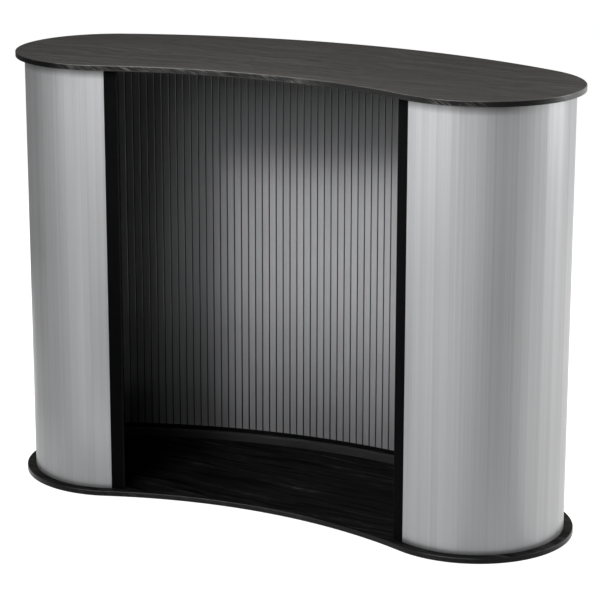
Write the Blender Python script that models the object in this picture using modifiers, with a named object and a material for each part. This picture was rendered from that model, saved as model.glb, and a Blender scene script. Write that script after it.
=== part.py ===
"""Exhibition counter, in metres, +Z up.

Two kidney-shaped boards, a base and a worktop, are held apart by a slatted wrap. The wrap follows both
round ends and the convex customer side (+Y) and leaves the concave operator side (-Y) open. Curved rails
on both boards stand inside the wrap and hold it by hook-and-loop tape, so that it all comes apart by hand.
The origin is on the floor, under the middle of the outline's box.
"""

import math

import bmesh
import bpy
from mathutils import Matrix, Vector

# Outline of both boards: two end circles joined by a convex and a concave arc
COUNTER_LENGTH = 1.354
END_RADIUS = 0.222
FRONT_RADIUS = 1.360
BACK_RADIUS = 1.000
CHORD_ERROR = 0.0003

# Boards and their edging
COUNTER_HEIGHT = 1.000
BOARD_THICKNESS = 0.012
EDGING_THICKNESS = 0.0012
EDGING_ROUND = 0.0008

# Wrap: facing outside, slats inside, a black binding folded round each free end
WRAP_OVERHANG = 0.0205
BACK_RETURN = 0.042
FACING_THICKNESS = 0.0010
SLAT_PITCH = 0.0176
SLAT_THICKNESS = 0.0045
SLAT_GROOVE = 0.0022
FILM_HINGE = 0.0008
BINDING_WIDTH = 0.030
END_SECTION_SLATS = 6

# Rails on the boards and the tape between rails and wrap
RAIL_WIDTH = 0.012
RAIL_HEIGHT = 0.0185
RAIL_ROUND = 0.0015
RAIL_SEAM = 0.0006
RAIL_END_SETBACK = 0.002
TAPE_WIDTH = 0.028
TAPE_THICKNESS = 0.0012
HOOK_TAPE_MARGIN = 0.002

# Countersunk screws through the rails
SCREWS_PER_RAIL = 4
SCREW_RADIUS = 0.0015
SCREW_HEAD_RADIUS = 0.0029
SCREW_HEAD_RIM = 0.0004
SCREW_TIP = 0.003
SCREW_COVER = 0.0045
SCREW_SIDES = 12
RECESS_LENGTH = 0.0026
RECESS_WIDTH = 0.0008
RECESS_DEPTH = 0.0012

# Gap left between pieces that touch
CLEARANCE = 0.0003
# How far a cutter reaches out of the piece that it cuts
CUTTER_REACH = 0.001
# Points closer together than this are one point
WELD_DISTANCE = 0.00003

# Arc centres of the outline, drawn with the end centres on y = 0
END_CENTRE_X = COUNTER_LENGTH / 2 - END_RADIUS
FRONT_CENTRE_Y = -math.sqrt((FRONT_RADIUS - END_RADIUS) ** 2 - END_CENTRE_X ** 2)
BACK_CENTRE_Y = -math.sqrt((BACK_RADIUS + END_RADIUS) ** 2 - END_CENTRE_X ** 2)
FRONT_HALF_ANGLE = math.atan2(END_CENTRE_X, -FRONT_CENTRE_Y)
BACK_HALF_ANGLE = math.atan2(END_CENTRE_X, -BACK_CENTRE_Y)
# Moves the outline so that its box is centred on the origin
PLAN_SHIFT_Y = (END_RADIUS - FRONT_CENTRE_Y - FRONT_RADIUS) / 2

# Insets from the board's edge, from the wrap's outer face inwards
FACING_INNER = WRAP_OVERHANG + FACING_THICKNESS
SLAT_OUTER = FACING_INNER + CLEARANCE
SLAT_INNER = SLAT_OUTER + SLAT_THICKNESS
LOOP_OUTER = SLAT_INNER + CLEARANCE
LOOP_INNER = LOOP_OUTER + TAPE_THICKNESS
HOOK_OUTER = LOOP_INNER + CLEARANCE
HOOK_INNER = HOOK_OUTER + TAPE_THICKNESS
RAIL_OUTER = HOOK_INNER + CLEARANCE
RAIL_MIDDLE = RAIL_OUTER + RAIL_WIDTH / 2
BOARD_INSET = EDGING_THICKNESS + CLEARANCE

# Levels
BASE_TOP = BOARD_THICKNESS
WORKTOP_UNDER = COUNTER_HEIGHT - BOARD_THICKNESS
WRAP_FOOT = BASE_TOP + CLEARANCE
WRAP_HEAD = WORKTOP_UNDER - CLEARANCE

# The screw's point stops short of the board's far face by the cover
SCREW_LENGTH = RAIL_HEIGHT + CLEARANCE + BOARD_THICKNESS - SCREW_COVER
SCREW_HEAD_DEPTH = SCREW_HEAD_RIM + SCREW_HEAD_RADIUS - SCREW_RADIUS

MATERIALS = {
    "board": ((0.014, 0.0135, 0.013), 0.45, 0.0),
    "edging": ((0.012, 0.012, 0.012), 0.35, 0.0),
    "facing": ((0.41, 0.415, 0.425), 0.38, 0.75),
    "slat": ((0.47, 0.475, 0.485), 0.45, 0.0),
    "binding": ((0.008, 0.008, 0.008), 0.80, 0.0),
    "tape": ((0.008, 0.008, 0.008), 0.95, 0.0),
    "rail": ((0.018, 0.018, 0.018), 0.40, 0.0),
    "screw": ((0.05, 0.05, 0.05), 0.35, 1.0),
}


class Arc:
    """One arc of the outline, travelled from start to end; grow is +1 where an inset widens its radius."""

    def __init__(self, centre_x, centre_y, radius, grow, start, end):
        self.centre = (centre_x, centre_y + PLAN_SHIFT_Y)
        self.radius = radius
        self.grow = grow
        self.start = start
        self.end = end

    def point(self, share, inset):
        angle = self.start + (self.end - self.start) * share
        radius = self.radius + self.grow * inset
        return Vector((self.centre[0] + radius * math.cos(angle), self.centre[1] + radius * math.sin(angle)))

    def length(self, inset):
        return (self.radius + self.grow * inset) * abs(self.end - self.start)


def board_arcs():
    """The whole outline, from the middle of the operator side round by the left end."""
    up = math.pi / 2
    return [
        Arc(0, BACK_CENTRE_Y, BACK_RADIUS, 1, up, up + BACK_HALF_ANGLE),
        Arc(-END_CENTRE_X, 0, END_RADIUS, -1, BACK_HALF_ANGLE - up, FRONT_HALF_ANGLE - 3 * up),
        Arc(0, FRONT_CENTRE_Y, FRONT_RADIUS, -1, up + FRONT_HALF_ANGLE, up - FRONT_HALF_ANGLE),
        Arc(END_CENTRE_X, 0, END_RADIUS, -1, up - FRONT_HALF_ANGLE, -up - BACK_HALF_ANGLE),
        Arc(0, BACK_CENTRE_Y, BACK_RADIUS, 1, up - BACK_HALF_ANGLE, up),
    ]


def wrap_arcs():
    """The wrap's run, from its left free end round the front to its right free end."""
    arcs = board_arcs()
    turn = BACK_RETURN / (BACK_RADIUS + WRAP_OVERHANG)
    arcs[0].start = arcs[0].end - turn
    arcs[-1].end = arcs[-1].start + turn
    return arcs


def board_outline(inset):
    points = []
    for arc in board_arcs():
        step = 2 * math.acos(1 - CHORD_ERROR / arc.radius)
        count = math.ceil(abs(arc.end - arc.start) / step)
        points += [arc.point(i / count, inset) for i in range(count)]
    return points


WRAP_ARCS = wrap_arcs()
WRAP_FRONT = WRAP_ARCS[2]
WRAP_LENGTH = sum(arc.length(WRAP_OVERHANG) for arc in WRAP_ARCS)
SLAT_COUNT = round(WRAP_LENGTH / SLAT_PITCH)
SLAT_STEP = WRAP_LENGTH / SLAT_COUNT
WRAP_MIDDLE = WRAP_LENGTH / 2
LEFT_SPLIT = END_SECTION_SLATS * SLAT_STEP
RIGHT_SPLIT = WRAP_LENGTH - LEFT_SPLIT


def wrap_place(run):
    """The arc that a distance along the wrap falls on, and the share of that arc."""
    for arc in WRAP_ARCS:
        length = arc.length(WRAP_OVERHANG)
        if run <= length or arc is WRAP_ARCS[-1]:
            return arc, min(run / length, 1.0)
        run -= length


def slat_joint(index, inset):
    arc, share = wrap_place(index * SLAT_STEP)
    return arc.point(share, inset)


def facet_point(run, inset):
    """A point on the flat facet of the slat that a distance along the wrap falls on."""
    index = min(int(run / SLAT_STEP), SLAT_COUNT - 1)
    share = run / SLAT_STEP - index
    return slat_joint(index, inset).lerp(slat_joint(index + 1, inset), share)


def wrap_line(inset, start, end, coarse=False):
    """The wrap's facets between two distances; coarse keeps every second joint on the nearly flat front."""
    points = [facet_point(start, inset)]
    for index in range(1, SLAT_COUNT):
        run = index * SLAT_STEP
        skipped = coarse and index % 2 == 1 and wrap_place(run)[0] is WRAP_FRONT
        if start + SLAT_GROOVE / 2 < run < end - SLAT_GROOVE / 2 and not skipped:
            points.append(slat_joint(index, inset))
    points.append(facet_point(end, inset))
    return points


def new_material(name):
    colour, roughness, metallic = MATERIALS[name]
    material = bpy.data.materials.new(name)
    material.use_nodes = True
    shader = material.node_tree.nodes["Principled BSDF"]
    shader.inputs["Base Color"].default_value = (*colour, 1.0)
    shader.inputs["Roughness"].default_value = roughness
    shader.inputs["Metallic"].default_value = metallic
    return material


def new_collection(name):
    collection = bpy.data.collections.new(name)
    bpy.context.scene.collection.children.link(collection)
    return collection


def clear_scene():
    for item in list(bpy.data.objects):
        bpy.data.objects.remove(item, do_unlink=True)


clear_scene()
PARTS = new_collection("exhibition_counter")
CUTTERS = new_collection("exhibition_counter_cutters")
MATERIAL = {name: new_material(name) for name in MATERIALS}


def new_body(name, place=(0, 0, 0)):
    """An empty that carries one moving body's pieces; it stands on the body's joint axis."""
    empty = bpy.data.objects.new(name, None)
    empty.location = place
    PARTS.objects.link(empty)
    bpy.context.view_layer.update()
    return empty


def add_piece(name, data, material, body, place=(0, 0, 0)):
    piece = bpy.data.objects.new(name, data)
    if not data.materials:
        data.materials.append(MATERIAL[material])
    piece.location = place
    piece.parent = body
    piece.matrix_parent_inverse = body.matrix_world.inverted()
    PARTS.objects.link(piece)
    return piece


def flat_curve(name, points, cyclic, depth):
    curve = bpy.data.curves.new(name, "CURVE")
    curve.dimensions = "2D"
    curve.extrude = depth / 2
    spline = curve.splines.new("POLY")
    spline.points.add(len(points) - 1)
    for target, point in zip(spline.points, points):
        target.co = (point.x, point.y, 0, 1)
    spline.use_cyclic_u = cyclic
    return curve


def plate(name, outline, low, high, material, body):
    """A filled outline between two levels."""
    curve = flat_curve(name, outline, True, high - low)
    curve.fill_mode = "BOTH"
    return add_piece(name, curve, material, body, (0, 0, (low + high) / 2))


def band(name, line, thickness, low, high, material, body):
    """An upright ribbon along a line, thickened evenly to both sides."""
    curve = flat_curve(name, line, False, high - low)
    curve.fill_mode = "NONE"
    piece = add_piece(name, curve, material, body, (0, 0, (low + high) / 2))
    solid = piece.modifiers.new("thickness", "SOLIDIFY")
    solid.thickness = thickness
    solid.offset = 0
    solid.use_even_offset = True
    return piece


def as_mesh(piece):
    """Replaces a curve piece by its evaluated mesh, with the caps welded, so that it can be cut."""
    bpy.context.view_layer.update()
    evaluated = piece.evaluated_get(bpy.context.evaluated_depsgraph_get())
    mesh = bpy.data.meshes.new_from_object(evaluated)
    work = bmesh.new()
    work.from_mesh(mesh)
    bmesh.ops.remove_doubles(work, verts=work.verts, dist=WELD_DISTANCE)
    bmesh.ops.recalc_face_normals(work, faces=work.faces)
    work.to_mesh(mesh)
    work.free()
    name = piece.name
    matrix = piece.matrix_world.copy()
    body = piece.parent
    bpy.data.objects.remove(piece, do_unlink=True)
    solid = bpy.data.objects.new(name, mesh)
    PARTS.objects.link(solid)
    solid.parent = body
    solid.matrix_parent_inverse = body.matrix_world.inverted()
    solid.matrix_world = matrix
    return solid


def cut(piece, cutter):
    boolean = piece.modifiers.new("cut", "BOOLEAN")
    boolean.operation = "DIFFERENCE"
    boolean.solver = "EXACT"
    boolean.object = cutter


def turned(name, profile, collection):
    """A solid of revolution about Z from a profile of radius and height, top to bottom."""
    mesh = bpy.data.meshes.new(name)
    rows = [(radius, 0, height) for radius, height in profile]
    mesh.from_pydata(rows, [(i, i + 1) for i in range(len(rows) - 1)], [])
    piece = bpy.data.objects.new(name, mesh)
    collection.objects.link(piece)
    spin = piece.modifiers.new("spin", "SCREW")
    spin.steps = SCREW_SIDES
    spin.render_steps = SCREW_SIDES
    spin.use_merge_vertices = True
    spin.merge_threshold = WELD_DISTANCE
    return piece


def hide_cutter(piece):
    piece.hide_render = True
    piece.display_type = "WIRE"


def evaluated_mesh(piece):
    bpy.context.view_layer.update()
    return bpy.data.meshes.new_from_object(piece.evaluated_get(bpy.context.evaluated_depsgraph_get()))


def recess_blade(turn):
    """One blade of the cross recess in the screw's head."""
    bpy.ops.mesh.primitive_cube_add(size=1)
    blade = bpy.context.object
    blade.name = "recess_blade"
    blade.data.transform(Matrix.Diagonal((RECESS_LENGTH, RECESS_WIDTH, 2 * RECESS_DEPTH, 1)))
    blade.rotation_euler = (0, 0, turn)
    for collection in blade.users_collection:
        collection.objects.unlink(blade)
    CUTTERS.objects.link(blade)
    hide_cutter(blade)
    return blade


def screw_mesh():
    """A countersunk wood screw, head up, with its head's face at z = 0."""
    profile = [
        (0, 0),
        (SCREW_HEAD_RADIUS, 0),
        (SCREW_HEAD_RADIUS, -SCREW_HEAD_RIM),
        (SCREW_RADIUS, -SCREW_HEAD_DEPTH),
        (SCREW_RADIUS, SCREW_TIP - SCREW_LENGTH),
        (0, -SCREW_LENGTH),
    ]
    blank = turned("screw_blank", profile, CUTTERS)
    for turn in (0, math.pi / 2):
        cut(blank, recess_blade(turn))
    mesh = evaluated_mesh(blank)
    mesh.name = "rail_screw"
    mesh.materials.clear()
    bpy.data.objects.remove(blank, do_unlink=True)
    return mesh


def screw_hole_mesh():
    """The screw's own shape with clearance all round, open above its head."""
    head = SCREW_HEAD_RADIUS + CLEARANCE
    shank = SCREW_RADIUS + CLEARANCE
    profile = [
        (0, CUTTER_REACH),
        (head, CUTTER_REACH),
        (head, -SCREW_HEAD_RIM - CLEARANCE),
        (shank, -SCREW_HEAD_DEPTH - CLEARANCE),
        (shank, SCREW_TIP - SCREW_LENGTH),
        (0, -SCREW_LENGTH - CLEARANCE),
    ]
    blank = turned("screw_hole_blank", profile, CUTTERS)
    mesh = evaluated_mesh(blank)
    mesh.name = "screw_hole"
    bpy.data.objects.remove(blank, do_unlink=True)
    return mesh


def rail_runs():
    """Start and end along the wrap of the left and the right rail, which butt at the middle."""
    return {
        "left": (RAIL_END_SETBACK, WRAP_MIDDLE - RAIL_SEAM / 2),
        "right": (WRAP_MIDDLE + RAIL_SEAM / 2, WRAP_LENGTH - RAIL_END_SETBACK),
    }


def screw_places():
    """Plan points of the screws, evenly spread along each rail."""
    places = []
    for start, end in rail_runs().values():
        step = (end - start) / SCREWS_PER_RAIL
        places += [facet_point(start + step * (i + 0.5), RAIL_MIDDLE) for i in range(SCREWS_PER_RAIL)]
    return places


def joined_holes(name, hole, head_level, facing):
    """One cutter that holds every screw hole of a board; facing is +1 for heads up, -1 for heads down."""
    work = bmesh.new()
    for place in screw_places():
        start = len(work.verts)
        work.from_mesh(hole)
        work.verts.ensure_lookup_table()
        turn = Matrix.Rotation(0 if facing > 0 else math.pi, 4, "X")
        move = Matrix.Translation((place.x, place.y, head_level)) @ turn
        bmesh.ops.transform(work, matrix=move, verts=work.verts[start:])
    mesh = bpy.data.meshes.new(name)
    work.to_mesh(mesh)
    work.free()
    cutter = bpy.data.objects.new(name, mesh)
    CUTTERS.objects.link(cutter)
    hide_cutter(cutter)
    return cutter


def guide_profile(name, corners):
    """A closed section for a swept piece, as inset and height from the swept line."""
    curve = flat_curve(name, [Vector(corner) for corner in corners], True, 0)
    guide = bpy.data.objects.new(name, curve)
    CUTTERS.objects.link(guide)
    hide_cutter(guide)
    return guide


def swept(name, line, section, level, material, body, cyclic=False):
    """A section carried along a line; inset in the section runs to the right of the line's travel."""
    curve = flat_curve(name, line, cyclic, 0)
    curve.fill_mode = "NONE"
    curve.bevel_mode = "OBJECT"
    curve.bevel_object = section
    curve.use_fill_caps = not cyclic
    return add_piece(name, curve, material, body, (0, 0, level))


def edging_section():
    """Section of a board's edging, with its two outer arrises eased within its thickness."""
    ease = min(EDGING_ROUND, EDGING_THICKNESS - CLEARANCE)
    return guide_profile("edging_section", [
        (ease, 0),
        (0, ease),
        (0, BOARD_THICKNESS - ease),
        (ease, BOARD_THICKNESS),
        (EDGING_THICKNESS, BOARD_THICKNESS),
        (EDGING_THICKNESS, 0),
    ])


def rail_section(name, facing):
    """Section of a rail, with the two arrises of its free edge eased."""
    half = RAIL_WIDTH / 2
    corners = [
        (-half, 0),
        (-half, RAIL_HEIGHT - RAIL_ROUND),
        (RAIL_ROUND - half, RAIL_HEIGHT),
        (half - RAIL_ROUND, RAIL_HEIGHT),
        (half, RAIL_HEIGHT - RAIL_ROUND),
        (half, 0),
    ]
    return guide_profile(name, [(inset, facing * height) for inset, height in corners])


def board_with_rails(side, board_low, facing, body):
    """A board, its edging, its two rails with their screws and the hook tape on the rails.

    facing is +1 where the rails stand on top of the board and -1 where they hang below it.
    """
    board_high = board_low + BOARD_THICKNESS
    seat = board_high + CLEARANCE if facing > 0 else board_low - CLEARANCE
    free_edge = seat + facing * RAIL_HEIGHT
    holes = joined_holes(side + "_screw_holes", SCREW_HOLE, free_edge, facing)

    outline = board_outline(BOARD_INSET)
    cut(as_mesh(plate(side + "_board", outline, board_low, board_high, "board", body)), holes)
    swept(side + "_edging", board_outline(0), EDGING_SECTION, board_low, "edging", body, cyclic=True)

    section = rail_section(side + "_rail_section", facing)
    for hand, (start, end) in rail_runs().items():
        line = wrap_line(RAIL_MIDDLE, start, end, coarse=True)
        cut(as_mesh(swept(f"{side}_rail_{hand}", line, section, seat, "rail", body)), holes)

    tape_low, tape_high = sorted((seat, free_edge - facing * HOOK_TAPE_MARGIN))
    tape_end = WRAP_LENGTH - RAIL_END_SETBACK
    tape_line = wrap_line(HOOK_OUTER + TAPE_THICKNESS / 2, RAIL_END_SETBACK, tape_end, coarse=True)
    band(side + "_hook_tape", tape_line, TAPE_THICKNESS, tape_low, tape_high, "tape", body)

    for number, place in enumerate(screw_places(), 1):
        screw = add_piece(f"{side}_rail_screw_{number}", SCREW, "screw", body, (place.x, place.y, free_edge))
        screw.rotation_euler = (0 if facing > 0 else math.pi, 0, 0)


def slats(name, start, end, body):
    """A run of slats joined by film hinges on the outer side, with a groove between neighbours inside."""
    half_groove = SLAT_GROOVE / 2
    bottom = SLAT_OUTER + FILM_HINGE
    inner = [facet_point(start + half_groove, SLAT_INNER)]
    for index in range(1, SLAT_COUNT):
        run = index * SLAT_STEP
        if start + SLAT_GROOVE < run < end - SLAT_GROOVE:
            inner.append(facet_point(run - half_groove, SLAT_INNER))
            inner.append(facet_point(run - half_groove, bottom))
            inner.append(facet_point(run + half_groove, bottom))
            inner.append(facet_point(run + half_groove, SLAT_INNER))
    inner.append(facet_point(end - half_groove, SLAT_INNER))
    outline = wrap_line(SLAT_OUTER, start, end) + inner[::-1]
    return plate(name, outline, WRAP_FOOT, WRAP_HEAD, "slat", body)


def binding(name, free_end, inward, body):
    """A strip folded round a free end of the wrap; inward is the sign of the run away from that end."""
    edge = free_end + inward * BINDING_WIDTH
    fold = free_end + inward * FACING_THICKNESS

    def leaf(inset, first, last):
        line = wrap_line(inset, min(first, last), max(first, last))
        return line if first < last else line[::-1]

    outline = leaf(WRAP_OVERHANG, edge, free_end)
    outline += leaf(LOOP_OUTER + FACING_THICKNESS, free_end, edge)
    outline += leaf(LOOP_OUTER, edge, fold)
    outline += leaf(FACING_INNER, fold, edge)
    return plate(name, outline, WRAP_FOOT, WRAP_HEAD, "binding", body)


def wrap_section(prefix, start, end, body):
    """Slats, facing and the two loop tapes of one run of the wrap, cut short by a hair at each split."""
    slats(prefix + "_slats", *slat_run(start, end), body)
    facing_start, facing_end = skin_run(start, end)
    facing_line = wrap_line(WRAP_OVERHANG + FACING_THICKNESS / 2, facing_start, facing_end)
    band(prefix + "_facing", facing_line, FACING_THICKNESS, WRAP_FOOT, WRAP_HEAD, "facing", body)
    tape_line = wrap_line(LOOP_OUTER + TAPE_THICKNESS / 2, facing_start, facing_end, coarse=True)
    for level, low in (("lower", WRAP_FOOT), ("upper", WRAP_HEAD - TAPE_WIDTH)):
        name = f"{prefix}_loop_tape_{level}"
        band(name, tape_line, TAPE_THICKNESS, low, low + TAPE_WIDTH, "tape", body)


def slat_run(start, end):
    """Slats stop short of the binding's fold at a free end and of the next section at a split."""
    fold = FACING_THICKNESS + CLEARANCE
    low = start + (fold if start == 0 else CLEARANCE / 2)
    high = end - (fold if end == WRAP_LENGTH else CLEARANCE / 2)
    return low, high


def skin_run(start, end):
    """Facing and tape stop at the binding at a free end and at the next section at a split."""
    low = start + (BINDING_WIDTH + CLEARANCE if start == 0 else CLEARANCE / 2)
    high = end - (BINDING_WIDTH + CLEARANCE if end == WRAP_LENGTH else CLEARANCE / 2)
    return low, high


SCREW = screw_mesh()
SCREW_HOLE = screw_hole_mesh()
EDGING_SECTION = edging_section()

base_body = new_body("base_body")
worktop_body = new_body("worktop_body", (0, 0, WORKTOP_UNDER))
wrap_body = new_body("wrap_body", (0, 0, WRAP_FOOT))
left_hinge = facet_point(LEFT_SPLIT, WRAP_OVERHANG)
right_hinge = facet_point(RIGHT_SPLIT, WRAP_OVERHANG)
left_end_body = new_body("left_end_body", (left_hinge.x, left_hinge.y, WRAP_FOOT))
right_end_body = new_body("right_end_body", (right_hinge.x, right_hinge.y, WRAP_FOOT))

board_with_rails("base", 0, 1, base_body)
board_with_rails("worktop", WORKTOP_UNDER, -1, worktop_body)
wrap_section("wrap", LEFT_SPLIT, RIGHT_SPLIT, wrap_body)
wrap_section("left_end", 0, LEFT_SPLIT, left_end_body)
wrap_section("right_end", RIGHT_SPLIT, WRAP_LENGTH, right_end_body)
binding("left_end_binding", 0, 1, left_end_body)
binding("right_end_binding", WRAP_LENGTH, -1, right_end_body)
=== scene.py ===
"""Looks of the exhibition counter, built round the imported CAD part, in metres and in the same frame."""

import math
import random
from functools import partial

import bmesh
import bpy
from mathutils import Matrix, Vector


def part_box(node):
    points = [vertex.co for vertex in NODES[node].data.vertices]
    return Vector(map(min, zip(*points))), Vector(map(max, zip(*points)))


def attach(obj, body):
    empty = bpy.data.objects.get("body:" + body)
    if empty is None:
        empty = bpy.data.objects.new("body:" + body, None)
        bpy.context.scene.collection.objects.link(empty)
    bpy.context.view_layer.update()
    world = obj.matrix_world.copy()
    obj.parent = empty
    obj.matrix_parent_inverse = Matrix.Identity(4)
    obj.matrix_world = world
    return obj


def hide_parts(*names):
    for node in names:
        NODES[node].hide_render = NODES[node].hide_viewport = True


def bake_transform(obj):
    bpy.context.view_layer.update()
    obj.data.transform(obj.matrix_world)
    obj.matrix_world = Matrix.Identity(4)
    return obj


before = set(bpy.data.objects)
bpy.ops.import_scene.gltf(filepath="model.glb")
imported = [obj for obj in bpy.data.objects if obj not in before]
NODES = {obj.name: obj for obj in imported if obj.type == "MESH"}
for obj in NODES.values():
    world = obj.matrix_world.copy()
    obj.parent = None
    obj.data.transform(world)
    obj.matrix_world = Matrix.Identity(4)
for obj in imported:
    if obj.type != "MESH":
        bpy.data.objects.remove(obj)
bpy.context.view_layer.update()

# Sizes under the names that the CAD source gives them
COUNTER_LENGTH = 1.354
END_RADIUS = 0.222
FRONT_RADIUS = 1.360
BACK_RADIUS = 1.000
COUNTER_HEIGHT = 1.000
BOARD_THICKNESS = 0.012
EDGING_THICKNESS = 0.0012
WRAP_OVERHANG = 0.0205
BACK_RETURN = 0.042
FACING_THICKNESS = 0.0010
SLAT_PITCH = 0.0176
SLAT_THICKNESS = 0.0045
SLAT_GROOVE = 0.0022
FILM_HINGE = 0.0008
BINDING_WIDTH = 0.030
END_SECTION_SLATS = 6
RAIL_WIDTH = 0.012
RAIL_HEIGHT = 0.0185
RAIL_SEAM = 0.0006
RAIL_END_SETBACK = 0.002
TAPE_WIDTH = 0.028
TAPE_THICKNESS = 0.0012
SCREWS_PER_RAIL = 4
SCREW_RADIUS = 0.0015
SCREW_HEAD_RIM = 0.0004
CLEARANCE = 0.0003

# Finer forms that only the looks have
ARC_STEP = 0.008
EDGING_ARRIS = 0.00115
EDGING_JOINT = 0.00005
RAIL_ARRIS = 0.0016
SLAT_ARRIS = 0.0010
ARRIS_STEPS = 4
FACET_BEND = 0.0015
FACET_UNEVENNESS = 0.00010
FOLD_RADIUS = 0.0025
LEAF_ROUND = 0.0004
BEND_REACH = 0.003
SKIN_LAP_SLATS = 6
FACET_SEED = 7
HOLE_SIDES = 24
SMOOTH_ANGLE = math.radians(40)
ROUNDING = 1e-9

# Wood figure: how the log's heart lies to a board, and how often its lines come in a metre
HEART_OFFSET = 0.02
HEART_DEPTH = 0.035
HEART_LEAN = 0.10
RINGS_PER_METRE = 46.0
STREAK_LENGTHENING = 17
FLECK_DENSITY = (26.0, 110.0, 26.0)
PORE_DENSITY = (34.0, 1100.0, 34.0)
WARM_CAST = (1.0, 0.985, 0.96)
DARK_STREAK = (0.0008, 0.0008, 0.0007)

# Edging and webbing
STREAK_SLANT = math.radians(24)
RIB_PITCH = 0.0021
YARN_PITCH = 0.0016

# Darkening on the facing: its height at the foot, the height of the painted shade under the worktop at the
# head, and the x between which that painted shade ends
FOOT_DARKENING = 0.012
HEAD_SHADE = 0.022
HEAD_SHADE_END = (0.58, 0.64)

# Studio: the floor's bounce is what it throws on the counter, and its shade what takes a shadow
FLOOR_SIZE = 30
FLOOR_BOUNCE = 0.15
FLOOR_SHADE = 0.45
AMBIENT = 0.025
CARD_FACET_DEGREES = 15

# Arc centres of the outline, drawn with the end centres on y = 0
END_CENTRE_X = COUNTER_LENGTH / 2 - END_RADIUS
FRONT_CENTRE_Y = -math.sqrt((FRONT_RADIUS - END_RADIUS) ** 2 - END_CENTRE_X ** 2)
BACK_CENTRE_Y = -math.sqrt((BACK_RADIUS + END_RADIUS) ** 2 - END_CENTRE_X ** 2)
FRONT_HALF_ANGLE = math.atan2(END_CENTRE_X, -FRONT_CENTRE_Y)
BACK_HALF_ANGLE = math.atan2(END_CENTRE_X, -BACK_CENTRE_Y)
PLAN_SHIFT_Y = (END_RADIUS - FRONT_CENTRE_Y - FRONT_RADIUS) / 2
RIGHT_END = (END_CENTRE_X, PLAN_SHIFT_Y)
LEFT_END = (-END_CENTRE_X, PLAN_SHIFT_Y)

# Insets from the board's edge, from the wrap's outer face inwards
FACING_INNER = WRAP_OVERHANG + FACING_THICKNESS
SLAT_OUTER = FACING_INNER + CLEARANCE
SLAT_INNER = SLAT_OUTER + SLAT_THICKNESS
LOOP_OUTER = SLAT_INNER + CLEARANCE
LOOP_INNER = LOOP_OUTER + TAPE_THICKNESS
RAIL_OUTER = LOOP_INNER + TAPE_THICKNESS + 2 * CLEARANCE
BOARD_INSET = EDGING_THICKNESS + CLEARANCE

# Levels
WORKTOP_UNDER = COUNTER_HEIGHT - BOARD_THICKNESS
WRAP_FOOT = BOARD_THICKNESS + CLEARANCE
WRAP_HEAD = WORKTOP_UNDER - CLEARANCE


class Arc:
    """One arc of the outline, travelled from start to end; grow is +1 where an inset widens its radius."""

    def __init__(self, centre_x, centre_y, radius, grow, start, end):
        self.centre = (centre_x, centre_y + PLAN_SHIFT_Y)
        self.radius = radius
        self.grow = grow
        self.start = start
        self.end = end

    def point(self, share, inset):
        angle = self.start + (self.end - self.start) * share
        radius = self.radius + self.grow * inset
        x = self.centre[0] + radius * math.cos(angle)
        y = self.centre[1] + radius * math.sin(angle)
        return Vector((x, y))

    def length(self, inset):
        return (self.radius + self.grow * inset) * abs(self.end - self.start)


def board_arcs():
    """The whole outline, from the middle of the operator side round by the left end."""
    up = math.pi / 2
    return [
        Arc(0, BACK_CENTRE_Y, BACK_RADIUS, 1, up, up + BACK_HALF_ANGLE),
        Arc(-END_CENTRE_X, 0, END_RADIUS, -1, BACK_HALF_ANGLE - up, FRONT_HALF_ANGLE - 3 * up),
        Arc(0, FRONT_CENTRE_Y, FRONT_RADIUS, -1, up + FRONT_HALF_ANGLE, up - FRONT_HALF_ANGLE),
        Arc(END_CENTRE_X, 0, END_RADIUS, -1, up - FRONT_HALF_ANGLE, -up - BACK_HALF_ANGLE),
        Arc(0, BACK_CENTRE_Y, BACK_RADIUS, 1, up - BACK_HALF_ANGLE, up),
    ]


def wrap_arcs():
    """The wrap's run, from its left free end round the front to its right free end."""
    arcs = board_arcs()
    turn = BACK_RETURN / (BACK_RADIUS + WRAP_OVERHANG)
    arcs[0].start = arcs[0].end - turn
    arcs[-1].end = arcs[-1].start + turn
    return arcs


BOARD_ARCS = board_arcs()
WRAP_ARCS = wrap_arcs()
EDGE_LENGTH = sum(arc.length(0) for arc in BOARD_ARCS)
WRAP_LENGTH = sum(arc.length(WRAP_OVERHANG) for arc in WRAP_ARCS)
SLAT_COUNT = round(WRAP_LENGTH / SLAT_PITCH)
SLAT_STEP = WRAP_LENGTH / SLAT_COUNT
LEFT_SPLIT = END_SECTION_SLATS * SLAT_STEP
RIGHT_SPLIT = WRAP_LENGTH - LEFT_SPLIT
LEFT_LAP = (END_SECTION_SLATS + SKIN_LAP_SLATS) * SLAT_STEP
RIGHT_LAP = WRAP_LENGTH - LEFT_LAP

# Stretches of an edging as (start, end, fade), from the middle of the operator side round by the left end;
# on the operator stretches, the right corner and the right tip its pale streaks and paler arrises are
# partly grain and wear, partly painted highlight
OPERATOR_LEFT = (0.0, 0.44, 0.06)
LEFT_TIP = (0.50, 0.90, 0.06)
RIGHT_TIP = (2.00, 2.42, 0.18)
RIGHT_CORNER = (2.71, 2.80, 0.03)
OPERATOR_RIGHT = (EDGE_LENGTH - 0.10, EDGE_LENGTH, 0.08)


def wrap_point(run, inset):
    """A point on the wrap's smooth run."""
    for arc in WRAP_ARCS:
        length = arc.length(WRAP_OVERHANG)
        if run <= length or arc is WRAP_ARCS[-1]:
            return arc.point(min(run / length, 1.0), inset)
        run -= length


def facet_point(run, inset):
    """A point on the flat facet of the slat that a distance along the wrap falls on."""
    index = min(int(run / SLAT_STEP + ROUNDING), SLAT_COUNT - 1)
    share = run / SLAT_STEP - index
    return wrap_point(index * SLAT_STEP, inset).lerp(wrap_point((index + 1) * SLAT_STEP, inset), share)


def joints_between(start, end):
    """The slat joints strictly between two distances along the wrap."""
    return [i for i in range(1, SLAT_COUNT) if start + SLAT_GROOVE < i * SLAT_STEP < end - SLAT_GROOVE]


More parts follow.
